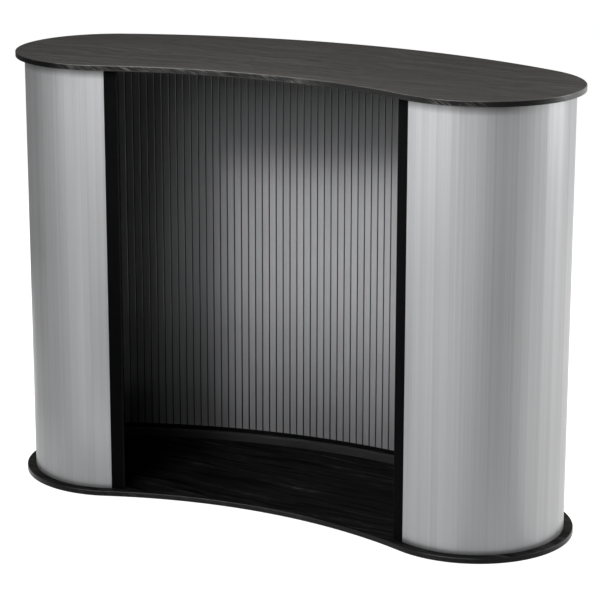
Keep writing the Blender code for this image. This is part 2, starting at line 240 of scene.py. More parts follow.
def face_outwards(mesh):
    """Turn the faces of closed shells outwards."""
    work = bmesh.new()
    work.from_mesh(mesh)
    bmesh.ops.recalc_face_normals(work, faces=work.faces)
    work.to_mesh(mesh)
    work.free()


def finish_mesh(piece):
    """Outward faces, smooth shading with crisp arrises, and flat faces that stay flat."""
    face_outwards(piece.data)
    piece.data.shade_smooth()
    piece.data.set_sharp_from_angle(angle=SMOOTH_ANGLE)
    weighted = piece.modifiers.new("flat_faces", "WEIGHTED_NORMAL")
    weighted.keep_sharp = True
    return piece


def new_piece(name, points, faces, corners, shares):
    """A mesh piece whose UV map holds, for each face corner, distances in metres along and across it.

    shares holds, by name, one number from 0 to 1 for each point, which materials read.
    """
    mesh = bpy.data.meshes.new(name)
    mesh.from_pydata(points, [], faces)
    layer = mesh.uv_layers.new(name="run_and_height")
    flat = [value for face in corners for corner in face for value in corner]
    layer.data.foreach_set("uv", flat)
    for title, values in shares.items():
        mesh.attributes.new(title, "FLOAT", "POINT").data.foreach_set("value", values)
    piece = bpy.data.objects.new(name, mesh)
    bpy.context.scene.collection.objects.link(piece)
    return piece


def quarter(centre, radius, start):
    """Points of a quarter turn about a centre, from an angle in quarter turns."""
    turns = [(start + i / ARRIS_STEPS) * math.pi / 2 for i in range(ARRIS_STEPS + 1)]
    return [(centre[0] + radius * math.cos(turn), centre[1] + radius * math.sin(turn)) for turn in turns]


def swept(name, stations, section, closed, **shares):
    """A closed section of (inset, height) points carried along stations of (run, place for an inset)."""
    count = len(section)
    around = [0.0]
    for j in range(count):
        step = Vector(section[(j + 1) % count]) - Vector(section[j])
        around.append(around[-1] + step.length)
    points = []
    for _, place in stations:
        for inset, height in section:
            plan = place(inset)
            points.append((plan.x, plan.y, height))
    faces = []
    corners = []
    runs = [run for run, _ in stations]
    if closed:
        last = stations[-1][1](0) - stations[0][1](0)
        runs.append(runs[-1] + last.length)
    for i in range(len(runs) - 1):
        following = (i + 1) % len(stations)
        for j in range(count):
            side = (j + 1) % count
            faces.append((i * count + j, i * count + side, following * count + side, following * count + j))
            corners.append((
                (runs[i], around[j]), (runs[i], around[j + 1]),
                (runs[i + 1], around[j + 1]), (runs[i + 1], around[j]),
            ))
    if not closed:
        for first in (0, (len(stations) - 1) * count):
            faces.append(tuple(range(first, first + count)))
            corners.append(tuple(section))
    spread = {title: values * len(stations) for title, values in shares.items()}
    return finish_mesh(new_piece(name, points, faces, corners, spread))


def prism(name, outline, low, high, **shares):
    """An upright solid from a closed outline of (plan point, run) pairs."""
    count = len(outline)
    points = [(plan.x, plan.y, height) for height in (low, high) for plan, _ in outline]
    faces = []
    corners = []
    for j in range(count):
        side = (j + 1) % count
        run, next_run = outline[j][1], outline[side][1]
        faces.append((j, side, count + side, count + j))
        corners.append(((run, low), (next_run, low), (next_run, high), (run, high)))
    for first in (0, count):
        faces.append(tuple(range(first, first + count)))
        corners.append(tuple((plan.x, plan.y) for plan, _ in outline))
    spread = {title: values * 2 for title, values in shares.items()}
    return finish_mesh(new_piece(name, points, faces, corners, spread))


def board_stations():
    """Closely spaced stations round the whole board."""
    stations = []
    run = 0.0
    for arc in BOARD_ARCS:
        count = math.ceil(arc.length(0) / ARC_STEP)
        for i in range(count):
            stations.append((run + arc.length(0) * i / count, partial(arc.point, i / count)))
        run += arc.length(0)
    return stations


def edging(name, low):
    """A board's edging, with rounded outer arrises marked for paler wear and painted highlight, closed up
    to its board.
    """
    high = low + BOARD_THICKNESS
    inner = BOARD_INSET - EDGING_JOINT
    section = quarter((EDGING_ARRIS, high - EDGING_ARRIS), EDGING_ARRIS, 1)
    section += quarter((EDGING_ARRIS, low + EDGING_ARRIS), EDGING_ARRIS, 2)
    wear = [1.0] * len(section)
    half = len(section) // 2
    section.insert(half, (0.0, low + 2 * EDGING_ARRIS))
    section.insert(half, (0.0, high - 2 * EDGING_ARRIS))
    wear[half:half] = [0.0, 0.0]
    section += [(inner, low), (inner, high)]
    wear += [0.0, 0.0]
    return swept(name, board_stations(), section, True, wear=wear)


def rail_cutter(name, facing):
    """Countersunk holes for the screws of one rail's board, taken from the CAD screws' own boxes."""
    points = []
    faces = []
    for number in range(1, 2 * SCREWS_PER_RAIL + 1):
        low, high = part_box(f"{name}_screw_{number}")
        head = (high.x - low.x) / 2 + CLEARANCE
        middle = (low + high) / 2
        top = high.z if facing > 0 else low.z
        shank = SCREW_RADIUS + CLEARANCE
        sink = SCREW_HEAD_RIM + head - shank
        profile = [
            (head, RAIL_ARRIS), (head, -SCREW_HEAD_RIM),
            (shank, -sink), (shank, -RAIL_HEIGHT - RAIL_ARRIS),
        ]
        first = len(points)
        for radius, depth in profile:
            for k in range(HOLE_SIDES):
                turn = 2 * math.pi * k / HOLE_SIDES
                x = middle.x + radius * math.cos(turn)
                y = middle.y + radius * math.sin(turn)
                points.append((x, y, top + facing * depth))
        for ring in range(len(profile) - 1):
            for k in range(HOLE_SIDES):
                a = first + ring * HOLE_SIDES + k
                b = first + ring * HOLE_SIDES + (k + 1) % HOLE_SIDES
                faces.append((a, b, b + HOLE_SIDES, a + HOLE_SIDES))
        faces.append(tuple(range(first, first + HOLE_SIDES)))
        faces.append(tuple(range(len(points) - HOLE_SIDES, len(points))))
    mesh = bpy.data.meshes.new(name + "_holes")
    mesh.from_pydata(points, [], faces)
    face_outwards(mesh)
    cutter = bpy.data.objects.new(name + "_holes", mesh)
    bpy.context.scene.collection.objects.link(cutter)
    return cutter


def rail(name, start, end, seat, facing, cutter):
    """One curved rail with its free edge rounded and its screw holes cut."""
    inner = RAIL_OUTER + RAIL_WIDTH
    turn = RAIL_HEIGHT - RAIL_ARRIS
    section = [(RAIL_OUTER, 0.0)]
    section += quarter((RAIL_OUTER + RAIL_ARRIS, turn), RAIL_ARRIS, 1)[::-1]
    section += quarter((inner - RAIL_ARRIS, turn), RAIL_ARRIS, 0)[::-1]
    section += [(inner, 0.0)]
    section = [(inset, seat + facing * height) for inset, height in section]
    count = math.ceil((end - start) / ARC_STEP)
    runs = [start + (end - start) * i / count for i in range(count + 1)]
    stations = [(run, partial(wrap_point, run)) for run in runs]
    piece = swept(name, stations, section, False)
    boolean = piece.modifiers.new("holes", "BOOLEAN")
    boolean.operation = "DIFFERENCE"
    boolean.solver = "EXACT"
    boolean.object = cutter
    bpy.context.view_layer.update()
    cut = bpy.data.meshes.new_from_object(piece.evaluated_get(bpy.context.evaluated_depsgraph_get()))
    piece.modifiers.clear()
    piece.data = cut
    return finish_mesh(piece)


def skin_line(start, end, inset, uneven):
    """Facets of the wrap between two distances, each bend eased over a short strip."""
    line = [(facet_point(start, inset + uneven(start)), start)]
    for index in joints_between(start, end):
        middle = index * SLAT_STEP
        for run in (middle - FACET_BEND, middle + FACET_BEND):
            line.append((facet_point(run, inset + uneven(middle)), run))
    line.append((facet_point(end, inset + uneven(end)), end))
    return line


JITTER = random.Random(FACET_SEED)
UNEVEN = [JITTER.uniform(0, FACET_UNEVENNESS) for _ in range(SLAT_COUNT + 1)]


def facet_unevenness(run):
    """How far a slat joint lies in from the ideal surface; each facet so leans by a hair of its own."""
    return UNEVEN[round(run / SLAT_STEP)]


def no_unevenness(_):
    """For surfaces that follow their facets exactly."""
    return 0.0


def skin(name, start, end, outer, thickness, low, high, uneven=no_unevenness):
    """A thin sheet along the wrap's facets."""
    outline = skin_line(start, end, outer, uneven)
    outline += skin_line(start, end, outer + thickness, no_unevenness)[::-1]
    return prism(name, outline, low, high)


def slat_run(name, start, end):
    """Slats with eased inner arrises, joined by film hinges on their outer side."""
    half = SLAT_GROOVE / 2
    bottom = SLAT_OUTER + FILM_HINGE
    edges = [start] + [i * SLAT_STEP for i in joints_between(start, end)] + [end]
    inner = []
    for first, last in zip(edges, edges[1:]):
        low, high = first + half, last - half
        rising = quarter((low + SLAT_ARRIS, SLAT_INNER - SLAT_ARRIS), SLAT_ARRIS, 1)[::-1]
        falling = quarter((high - SLAT_ARRIS, SLAT_INNER - SLAT_ARRIS), SLAT_ARRIS, 0)[::-1]
        face = [(low + 2 * SLAT_ARRIS, SLAT_INNER), (high - 2 * SLAT_ARRIS, SLAT_INNER)]
        inner += [(low, bottom, 1.0, 0.0)] + [(*spot, 0.0, 1.0) for spot in rising]
        inner += [(*spot, 0.0, 0.0) for spot in face]
        inner += [(*spot, 0.0, 1.0) for spot in falling] + [(high, bottom, 1.0, 0.0)]
    outer = [(run, SLAT_OUTER, 0.0, 0.0) for run in edges]
    section = outer + inner[::-1]
    outline = [(facet_point(run, inset), run) for run, inset, _, _ in section]
    groove = [depth for _, _, depth, _ in section]
    arris = [share for _, _, _, share in section]
    return prism(name, outline, WRAP_FOOT, WRAP_HEAD, groove=groove, arris=arris)


def binding(name, free_end, inward):
    """A woven strip folded round a free end of the wrap, with a soft fold and eased leaf edges."""
    outer = WRAP_OVERHANG
    inner = LOOP_OUTER + FACING_THICKNESS
    edge = BINDING_WIDTH
    tight = FOLD_RADIUS - FACING_THICKNESS
    path = quarter((edge - LEAF_ROUND, outer + LEAF_ROUND), LEAF_ROUND, 3)[::-1]
    path += quarter((FOLD_RADIUS, outer + FOLD_RADIUS), FOLD_RADIUS, 2)[::-1]
    path += quarter((FOLD_RADIUS, inner - FOLD_RADIUS), FOLD_RADIUS, 1)[::-1]
    path += quarter((edge - LEAF_ROUND, inner - LEAF_ROUND), LEAF_ROUND, 0)[::-1]
    path += [(edge, inner - FACING_THICKNESS)]
    path += quarter((FOLD_RADIUS, inner - FOLD_RADIUS), tight, 1)
    path += quarter((FOLD_RADIUS, outer + FOLD_RADIUS), tight, 2)
    path += [(edge, outer + FACING_THICKNESS)]
    outline = []
    fold = []
    along = 0.0
    for (away, inset), (next_away, next_inset) in zip(path, path[1:] + path[:1]):
        crossing = [(away, inset)]
        if min(away, next_away) < SLAT_STEP < max(away, next_away):
            share = (SLAT_STEP - away) / (next_away - away)
            crossing.append((SLAT_STEP, inset + (next_inset - inset) * share))
        for place, depth in crossing:
            point = facet_point(free_end + inward * place, depth)
            if outline:
                along += (point - outline[-1][0]).length
            outline.append((point, along))
            fold.append(max(0.0, 1.0 - place / FOLD_RADIUS))
    return prism(name, outline, WRAP_FOOT, WRAP_HEAD, fold=fold)


class Finish:
    """One procedural material: its node tree, with short calls that add nodes and join them."""

    def __init__(self, name, roughness, metallic=0.0, specular=0.5, sheen=0.0):
        self.material = bpy.data.materials.new(name)
        self.material.use_nodes = True
        self.nodes = self.material.node_tree.nodes
        self.links = self.material.node_tree.links
        self.shader = self.nodes["Principled BSDF"]
        self.shader.inputs["Roughness"].default_value = roughness
        self.shader.inputs["Metallic"].default_value = metallic
        self.shader.inputs["Specular IOR Level"].default_value = specular
        self.shader.inputs["Sheen Weight"].default_value = sheen

    def put(self, socket, value):
        if isinstance(value, bpy.types.NodeSocket):
            self.links.new(value, socket)
        else:
            socket.default_value = value

    def node(self, kind, **values):
        made = self.nodes.new(kind)
        for name, value in values.items():
            self.put(made.inputs[name], value)
        return made

    def place(self, kind):
        """Where a point is: Object in metres in the part's frame, UV in metres along and across a piece."""
        return self.nodes.new("ShaderNodeTexCoord").outputs[kind]

    def split(self, vector):
        return self.node("ShaderNodeSeparateXYZ", Vector=vector).outputs

    def joined(self, x, y, z):
        return self.node("ShaderNodeCombineXYZ", X=x, Y=y, Z=z).outputs["Vector"]

    def math(self, operation, *values):
        made = self.nodes.new("ShaderNodeMath")
        made.operation = operation
        for socket, value in zip(made.inputs, values):
            self.put(socket, value)
        return made.outputs["Value"]

    def plus(self, first, second):
        return self.math("ADD", first, second)

    def times(self, first, second):
        return self.math("MULTIPLY", first, second)

    def turned(self, vector, turn):
        return self.node("ShaderNodeMapping", Vector=vector, Rotation=(0, 0, turn)).outputs["Vector"]

    def stretched(self, vector, scale):
        return self.node("ShaderNodeMapping", Vector=vector, Scale=scale).outputs["Vector"]

    def noise(self, vector, scale=1.0, detail=2.0, roughness=0.5):
        made = self.node(
            "ShaderNodeTexNoise", Vector=vector, Scale=scale, Detail=detail, Roughness=roughness
        )
        return made.outputs["Fac"]

    def line_noise(self, value, detail=2.0):
        """Noise along one number."""
        made = self.nodes.new("ShaderNodeTexNoise")
        made.noise_dimensions = "1D"
        self.put(made.inputs["W"], value)
        made.inputs["Scale"].default_value = 1.0
        made.inputs["Detail"].default_value = detail
        return made.outputs["Fac"]

    def chance(self, value):
        """A random number for each whole number."""
        made = self.nodes.new("ShaderNodeTexWhiteNoise")
        made.noise_dimensions = "1D"
        self.put(made.inputs["W"], value)
        return made.outputs["Value"]

    def spread(self, value, low, high, to_low=0.0, to_high=1.0):
        """A value carried over from one range to another, and held at the ends."""
        made = self.nodes.new("ShaderNodeMapRange")
        made.inputs["From Min"].default_value = low
        made.inputs["From Max"].default_value = high
        made.inputs["To Min"].default_value = to_low
        made.inputs["To Max"].default_value = to_high
        self.put(made.inputs["Value"], value)
        return made.outputs["Result"]

    def stretch(self, value, start, end, fade):
        """1 from start to end, falling to 0 over a fade beyond them."""
        rise = self.spread(value, start - fade, start)
        fall = self.spread(value, end, end + fade, 1.0, 0.0)
        return self.times(rise, fall)

    def attribute(self, name):
        made = self.nodes.new("ShaderNodeAttribute")
        made.attribute_name = name
        return made.outputs["Fac"]

    def colour(self, share, first, second):
        """A colour between two, by a share."""
        made = self.nodes.new("ShaderNodeMix")
        made.data_type = "RGBA"
        self.put(made.inputs[0], share)
        for socket, value in ((made.inputs[6], first), (made.inputs[7], second)):
            self.put(socket, value if isinstance(value, bpy.types.NodeSocket) else (*value, 1.0))
        return made.outputs[2]

    def bump(self, height, strength, distance):
        made = self.node("ShaderNodeBump", Height=height, Strength=strength, Distance=distance)
        self.links.new(made.outputs["Normal"], self.shader.inputs["Normal"])

    def paint(self, colour, roughness):
        self.links.new(colour, self.shader.inputs["Base Color"])
        self.links.new(roughness, self.shader.inputs["Roughness"])
        return self.material


def grey(tone):
    return (tone, tone, tone)


def warm(tone):
    """A grey with the laminate's warm cast."""
    return tuple(tone * share for share in WARM_CAST)


def wood_grain(finish, wave, turn, streaks_per_metre):
    """Plain-sawn figure along X: nested growth rings of a leaning log, streaks, flecks and fine pores.

    wave is how far the lines wander to either side; turn is their angle to the board's length.
    """
    x, y, z = finish.split(finish.turned(finish.place("Object"), turn))
    slow = finish.noise(finish.joined(x, y, z), 2.6, detail=3.0)
    drift = finish.spread(slow, 0.3, 0.7, -wave, wave)
    across = finish.plus(finish.plus(y, drift), HEART_OFFSET)
    depth = finish.plus(finish.times(x, HEART_LEAN), HEART_DEPTH)
    square = finish.plus(finish.times(across, across), finish.times(depth, depth))
    radius = finish.math("SQRT", square)
    rings = finish.line_noise(finish.times(radius, RINGS_PER_METRE), detail=4.0)
    along = finish.joined(x, across, z)
    lengthwise = streaks_per_metre / STREAK_LENGTHENING
    streak_density = (lengthwise, streaks_per_metre, lengthwise)
    streaks = finish.noise(finish.stretched(along, streak_density), detail=4.0, roughness=0.6)
    flecks = finish.noise(finish.stretched(along, FLECK_DENSITY), detail=3.0, roughness=0.55)
    pores = finish.noise(finish.stretched(along, PORE_DENSITY))
    return rings, streaks, flecks, pores


def board_finish(name, gloss, pale, sparse, even, wave, turn, streaks_per_metre):
    """Black wood-grain laminate, satin, smoother and paler on the figure and with pores pressed into it.

    A larger sparse leaves fewer pale veins, and even is the tone between them.
    """
    finish = Finish(name, roughness=0.45, specular=gloss)
    finish.shader.inputs["Specular Tint"].default_value = (1.0, 0.975, 0.94, 1.0)
    rings, streaks, flecks, pores = wood_grain(finish, wave, turn, streaks_per_metre)
    figure = finish.spread(rings, 0.47, 0.64)
    threads = finish.spread(streaks, 0.46, 0.66)
    spots = finish.spread(flecks, 0.40, 0.66)
    pits = finish.spread(pores, 0.55, 0.68)
    grain = finish.plus(finish.times(figure, 0.35), finish.times(threads, 0.35))
    grain = finish.plus(grain, finish.times(spots, 0.30))
    grain = finish.times(grain, finish.spread(streaks, 0.36, 0.46, 0.15, 1.0))
    veins = finish.math("POWER", grain, sparse)
    lines = finish.spread(streaks, 0.41, 0.46)
    between = finish.colour(lines, DARK_STREAK, warm(even))
    ground = finish.colour(veins, between, warm(pale))
    colour = finish.colour(finish.times(pits, 0.7), ground, grey(0.004))
    roughness = finish.spread(grain, 0.0, 1.0, 0.52, 0.42)
    height = finish.math("SUBTRACT", finish.times(grain, 0.5), pits)
    finish.bump(height, strength=0.35, distance=0.00025)
    return finish.paint(colour, roughness)


def edging_finish(name, figured, uneven):
    """Black wood-grain edging with slanting pale streaks and paler worn arrises, strongest on a few
    stretches, where they are partly grain and wear, partly painted highlight.

    figured is how strongly the streaks show; uneven is how far its polish goes from dull at the left end
    to bright at the right end.
    """
    finish = Finish(name, roughness=0.30)
    place = finish.place("UV")
    run, _, _ = finish.split(place)
    # Stretches where pale streaks and paler arrises show, with the right tip's streaks below: partly grain
    # and wear, partly painted highlight
    worn_and_highlit = finish.stretch(run, *OPERATOR_LEFT)
    for stretch in (OPERATOR_RIGHT, RIGHT_CORNER):
        worn_and_highlit = finish.math("MAXIMUM", worn_and_highlit, finish.stretch(run, *stretch))
    tip = finish.stretch(run, *RIGHT_TIP)
    slanted = finish.turned(place, STREAK_SLANT)
    streaks = finish.noise(finish.stretched(slanted, (26.0, 420.0, 1.0)), detail=3.0, roughness=0.55)
    fine = finish.noise(finish.stretched(slanted, (90.0, 1900.0, 1.0)))
    patches = finish.noise(finish.stretched(place, (11.0, 11.0, 1.0)))
    along = finish.math("MAXIMUM", worn_and_highlit, finish.times(tip, 0.6))
    strength = finish.times(finish.spread(patches, 0.40, 0.53, 0.45 * figured, figured), along)
    pale = finish.times(finish.spread(streaks, 0.50, 0.62), strength)
    threads = finish.spread(fine, 0.45, 0.70)
    grain = finish.plus(finish.times(pale, 0.92), finish.times(threads, 0.08))
    ground = finish.colour(grain, (0.0030, 0.0030, 0.0028), (0.140, 0.139, 0.134))
    rub = finish.noise(finish.stretched(place, (60.0, 60.0, 1.0)), detail=3.0)
    # Paler arrises on those stretches: partly rubbing, partly painted highlight
    handled = finish.spread(worn_and_highlit, 0.0, 1.0, 0.12, 1.0)
    rubbed_and_highlit = finish.times(finish.spread(rub, 0.30, 0.65, 0.5, 1.0), handled)
    worn = finish.times(finish.attribute("wear"), rubbed_and_highlit)
    colour = finish.colour(worn, ground, (0.036, 0.035, 0.034))
    dull = finish.times(finish.stretch(run, *LEFT_TIP), -0.12 * uneven)
    bright = finish.times(tip, 0.84 * uneven)
    polish = finish.plus(finish.spread(worn, 0.0, 1.0, 0.16, 0.55), finish.plus(dull, bright))
    finish.put(finish.shader.inputs["Specular IOR Level"], polish)
    roughness = finish.spread(grain, 0.0, 1.0, 0.30, 0.42)
    finish.bump(grain, strength=0.25, distance=0.0002)
    return finish.paint(colour, roughness)


def facing_finish():
    """Silver foil on the wrap: satin, with drawn lines up and down and faint marks; darker towards its
    foot, with a painted shade under the worktop at its head.
    """
    finish = Finish("facing_silver", roughness=0.36, metallic=0.6)
    place = finish.place("UV")
    run, height, _ = finish.split(place)
    drawn = finish.noise(finish.stretched(place, (2300.0, 2.2, 1.0)))
    fine = finish.noise(finish.stretched(place, (430.0, 0.35, 1.0)))
    broad = finish.noise(finish.stretched(place, (150.0, 0.35, 1.0)), detail=3.0)
    marks = finish.noise(finish.stretched(place, (7.0, 5.0, 1.0)), detail=5.0, roughness=0.62)
    slat = finish.chance(finish.math("FLOOR", finish.math("DIVIDE", run, SLAT_STEP)))
    from_foot = finish.math("SUBTRACT", height, WRAP_FOOT)
    from_head = finish.math("SUBTRACT", WRAP_HEAD, height)
    across, _, _ = finish.split(finish.place("Object"))
    # Darker towards the foot; at the head a painted shade under the worktop, fading out near the right tip;
    # both mottled by the marks
    foot = finish.spread(from_foot, 0.0, FOOT_DARKENING, 0.20, 0.0)
    shaded = finish.spread(across, *HEAD_SHADE_END, 1.0, 0.1)
    head = finish.times(finish.spread(from_head, 0.0, HEAD_SHADE, 0.95, 0.0), shaded)
    darkened_ends = finish.times(finish.math("MAXIMUM", foot, head), finish.spread(marks, 0.35, 0.65, 0.7, 1.0))
    lines = finish.plus(finish.spread(fine, 0.3, 0.7, 0.0, 0.38), finish.spread(broad, 0.3, 0.7, 0.0, 0.34))
    tone = finish.plus(lines, finish.times(slat, 0.28))
    ground = finish.colour(tone, (0.376, 0.380, 0.388), (0.518, 0.522, 0.530))
    colour = finish.colour(darkened_ends, ground, grey(0.06))
    worn = finish.plus(marks, finish.times(drawn, 0.4))
    roughness = finish.spread(worn, 0.5, 0.95, 0.33, 0.43)
    finish.bump(drawn, strength=0.10, distance=0.0001)
    return finish.paint(colour, roughness)


def slat_finish():
    """Grey plastic slats with faint drawing lines, glossier worn arrises and grooves that grow darker
    towards their bottom; no two quite alike.
    """
    finish = Finish("slat_plastic", roughness=0.45)
    place = finish.place("UV")
    run, _, _ = finish.split(place)
    drawn = finish.noise(finish.stretched(place, (1500.0, 2.5, 1.0)))
    marks = finish.noise(finish.stretched(place, (10.0, 6.0, 1.0)), detail=5.0, roughness=0.6)
    slat = finish.chance(finish.math("FLOOR", finish.math("DIVIDE", run, SLAT_STEP)))
    tone = finish.plus(finish.times(drawn, 0.4), finish.times(slat, 0.6))
    ground = finish.colour(tone, (0.390, 0.394, 0.404), (0.443, 0.447, 0.457))
    handled = finish.colour(finish.spread(marks, 0.50, 0.75, 0.0, 0.25), ground, (0.32, 0.32, 0.325))
    # Darker down in each groove
    darker_in_grooves = finish.spread(finish.attribute("groove"), 0.0, 0.3)
    colour = finish.colour(darker_in_grooves, handled, (0.024, 0.024, 0.025))
    gloss = finish.spread(finish.attribute("arris"), 0.0, 1.0, 0.15, 1.0)
    finish.put(finish.shader.inputs["Specular IOR Level"], gloss)
    worn = finish.times(finish.attribute("arris"), -0.24)
    roughness = finish.plus(finish.spread(marks, 0.3, 0.7, 0.38, 0.50), worn)
    finish.bump(drawn, strength=0.12, distance=0.0001)
    return finish.paint(colour, roughness)


def binding_finish():
    """Black webbing: ribs across the strip, a fine over-and-under weave, paler along its fold, partly as
    wear and partly as a painted highlight.
    """
    finish = Finish("binding_webbing", roughness=0.8, specular=0.04, sheen=0.02)
    place = finish.place("UV")
    across, up, _ = finish.split(place)
    rib = finish.math("SINE", finish.times(up, 2 * math.pi / RIB_PITCH))
    yarn = finish.math("SINE", finish.times(across, 2 * math.pi / YARN_PITCH))
    over = finish.times(finish.math("COSINE", finish.times(up, math.pi / RIB_PITCH)), yarn)
    fuzz = finish.noise(finish.stretched(place, (700.0, 700.0, 1.0)), detail=3.0)
    weave = finish.plus(finish.times(rib, 0.6), finish.times(over, 0.4))
    patch = finish.noise(finish.stretched(place, (30.0, 12.0, 1.0)), detail=3.0)
    raised = finish.spread(finish.plus(weave, fuzz), -0.6, 1.6)
    share = finish.plus(finish.times(raised, 0.7), finish.times(patch, 0.3))
    ground = finish.colour(share, (0.0008, 0.0008, 0.0009), (0.0040, 0.0040, 0.0042))
    # Paler along the fold: partly wear, partly painted highlight
    rubbed_and_highlit = finish.times(finish.attribute("fold"), finish.spread(fuzz, 0.3, 0.7, 0.6, 1.0))
    colour = finish.colour(rubbed_and_highlit, ground, (0.045, 0.045, 0.046))
    roughness = finish.spread(fuzz, 0.3, 0.7, 0.70, 0.88)
    finish.bump(raised, strength=0.6, distance=0.0003)
    return finish.paint(colour, roughness)


def tape_finish():
    """Black hook-and-loop tape: a dense fuzzy pile."""
    finish = Finish("tape_pile", roughness=0.95, specular=0.05, sheen=0.03)
    place = finish.place("Object")
    pile = finish.noise(place, 1400.0, detail=3.0, roughness=0.7)
    patch = finish.noise(place, 60.0, detail=3.0)
    share = finish.plus(finish.times(pile, 0.7), finish.times(patch, 0.3))
    colour = finish.colour(share, grey(0.004), grey(0.016))
    roughness = finish.spread(pile, 0.3, 0.7, 0.86, 0.98)
    finish.bump(pile, strength=0.8, distance=0.0005)
    return finish.paint(colour, roughness)


def rail_finish():
    """Black plastic strip with faint drawing lines along it and a little handling wear."""
    finish = Finish("rail_plastic", roughness=0.42, specular=0.3)
    place = finish.place("UV")
    drawn = finish.noise(finish.stretched(place, (3.0, 1300.0, 1.0)))
    marks = finish.noise(finish.stretched(place, (14.0, 60.0, 1.0)), detail=5.0, roughness=0.6)
    share = finish.plus(finish.times(drawn, 0.35), finish.times(marks, 0.65))
    colour = finish.colour(share, grey(0.034), (0.088, 0.088, 0.087))
    roughness = finish.spread(marks, 0.3, 0.7, 0.36, 0.50)
    finish.bump(drawn, strength=0.15, distance=0.0001)
    return finish.paint(colour, roughness)


def screw_finish():
    """Black zinc, with a paler bloom where a driver has touched it."""
    finish = Finish("screw_zinc", roughness=0.35, metallic=1.0)
    place = finish.place("Object")
    bloom = finish.noise(place, 900.0, detail=4.0, roughness=0.6)
    touched = finish.spread(bloom, 0.45, 0.72)
    colour = finish.colour(touched, (0.030, 0.030, 0.032), (0.14, 0.14, 0.145))
    roughness = finish.spread(bloom, 0.3, 0.7, 0.28, 0.48)
    finish.bump(bloom, strength=0.2, distance=0.0001)
    return finish.paint(colour, roughness)


def dress(piece, material):
    piece.data.materials.clear()
    piece.data.materials.append(material)


def fit(piece, body, slot, material, *replaced):
    """A new piece takes the place of CAD nodes on one body."""
    dress(piece, material)
    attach(piece, body)
    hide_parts(*replaced)


def fit_bending(piece, end_body, slot, material, hinge_run, free_side, *replaced):
    """A new sheet that spans an end section, its film hinge and part of the wrap after it takes the place
    of CAD nodes; it is baked in place and not attached to a body.
    """
    dress(piece, material)
    hinge = facet_point(hinge_run, WRAP_OVERHANG)
    before = facet_point(hinge_run - BEND_REACH, WRAP_OVERHANG)
    after = facet_point(hinge_run + BEND_REACH, WRAP_OVERHANG)
    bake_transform(piece)
    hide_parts(*replaced)


def dress_boards():
    """Laminate on both boards, and finer edgings and kerbs in place of the CAD ones."""
    # Both boards are one laminate; these two copies differ in tone for how light falls on each, the base's
    # paler veins and ground being painted light
    laminates = {
        "base": board_finish(
            "base_laminate", gloss=0.020, pale=0.150, sparse=4.2, even=0.0118,
            wave=0.016, turn=0.07, streaks_per_metre=60,
        ),
        "worktop": board_finish(
            "worktop_laminate", gloss=0.029, pale=0.028, sparse=1.2, even=0.0008,
            wave=0.035, turn=0.0, streaks_per_metre=85,
        ),
    }
    bands = {
        "base": edging_finish("base_band", figured=0.3, uneven=0.0),
        "worktop": edging_finish("worktop_band", figured=1.0, uneven=1.0),
    }
    plastic = rail_finish()
    for side, low, facing in (("base", 0.0, 1), ("worktop", WORKTOP_UNDER, -1)):
        dress(NODES[side + "_board"], laminates[side])
        fit(edging(side + "_edge_band", low), side, "edging", bands[side], side + "_edging")
        seat = low + BOARD_THICKNESS + CLEARANCE if facing > 0 else low - CLEARANCE
        cutter = rail_cutter(side + "_rail", facing)
        middle = WRAP_LENGTH / 2
        for hand, start, end in (
            ("left", RAIL_END_SETBACK, middle - RAIL_SEAM / 2),
            ("right", middle + RAIL_SEAM / 2, WRAP_LENGTH - RAIL_END_SETBACK),
        ):
            node = f"{side}_rail_{hand}"
            fit(rail(f"{side}_kerb_{hand}", start, end, seat, facing, cutter), side, "rail", plastic, node)
        bpy.data.objects.remove(cutter, do_unlink=True)


def dress_wrap():
    """Finer facing, tapes, slats and bindings on the wrap, and pile on the hook tapes."""
    foil = facing_finish()
    plastic = slat_finish()
    webbing = binding_finish()
    pile = tape_finish()
    skin_start = BINDING_WIDTH + CLEARANCE
    skin_end = WRAP_LENGTH - skin_start

    def sheets(slot, material, suffix, outer, thickness, low, high, uneven=no_unevenness):
        """One sheet of the wrap as three pieces that meet at slat joints, away from the film hinges."""
        left = skin("left_" + suffix, skin_start, LEFT_LAP, outer, thickness, low, high, uneven)
        fit_bending(left, "left_end", slot, material, LEFT_SPLIT, 1, "left_end_" + suffix)
        middle = skin("middle_" + suffix, LEFT_LAP, RIGHT_LAP, outer, thickness, low, high, uneven)
        fit(middle, "wrap", slot, material, "wrap_" + suffix)
        right = skin("right_" + suffix, RIGHT_LAP, skin_end, outer, thickness, low, high, uneven)
        fit_bending(right, "right_end", slot, material, RIGHT_SPLIT, -1, "right_end_" + suffix)

    sheets(
        "facing", foil, "facing", WRAP_OVERHANG, FACING_THICKNESS, WRAP_FOOT, WRAP_HEAD, facet_unevenness,
    )
    for level, low in (("lower", WRAP_FOOT), ("upper", WRAP_HEAD - TAPE_WIDTH)):
        sheets("tape", pile, "loop_tape_" + level, LOOP_OUTER, TAPE_THICKNESS, low, low + TAPE_WIDTH)

    fold = FACING_THICKNESS + CLEARANCE
    gap = CLEARANCE / 2
    for place, body, start, end in (
        ("left", "left_end", fold, LEFT_SPLIT - gap),
        ("middle", "wrap", LEFT_SPLIT + gap, RIGHT_SPLIT - gap),
        ("right", "right_end", RIGHT_SPLIT + gap, WRAP_LENGTH - fold),
    ):
        fit(slat_run(place + "_slats", start, end), body, "slat", plastic, body + "_slats")
    for hand, free_end, inward in (("left", 0.0, 1), ("right", WRAP_LENGTH, -1)):
        strip = binding(hand + "_webbing", free_end, inward)
        fit(strip, hand + "_end", "binding", webbing, hand + "_end_binding")
    for side in ("base", "worktop"):
        dress(NODES[side + "_hook_tape"], pile)


def dress_screws():
    """Black zinc on every screw."""
    zinc = screw_finish()
    for name, node in NODES.items():
        if "_rail_screw_" in name:
            dress(node, zinc)


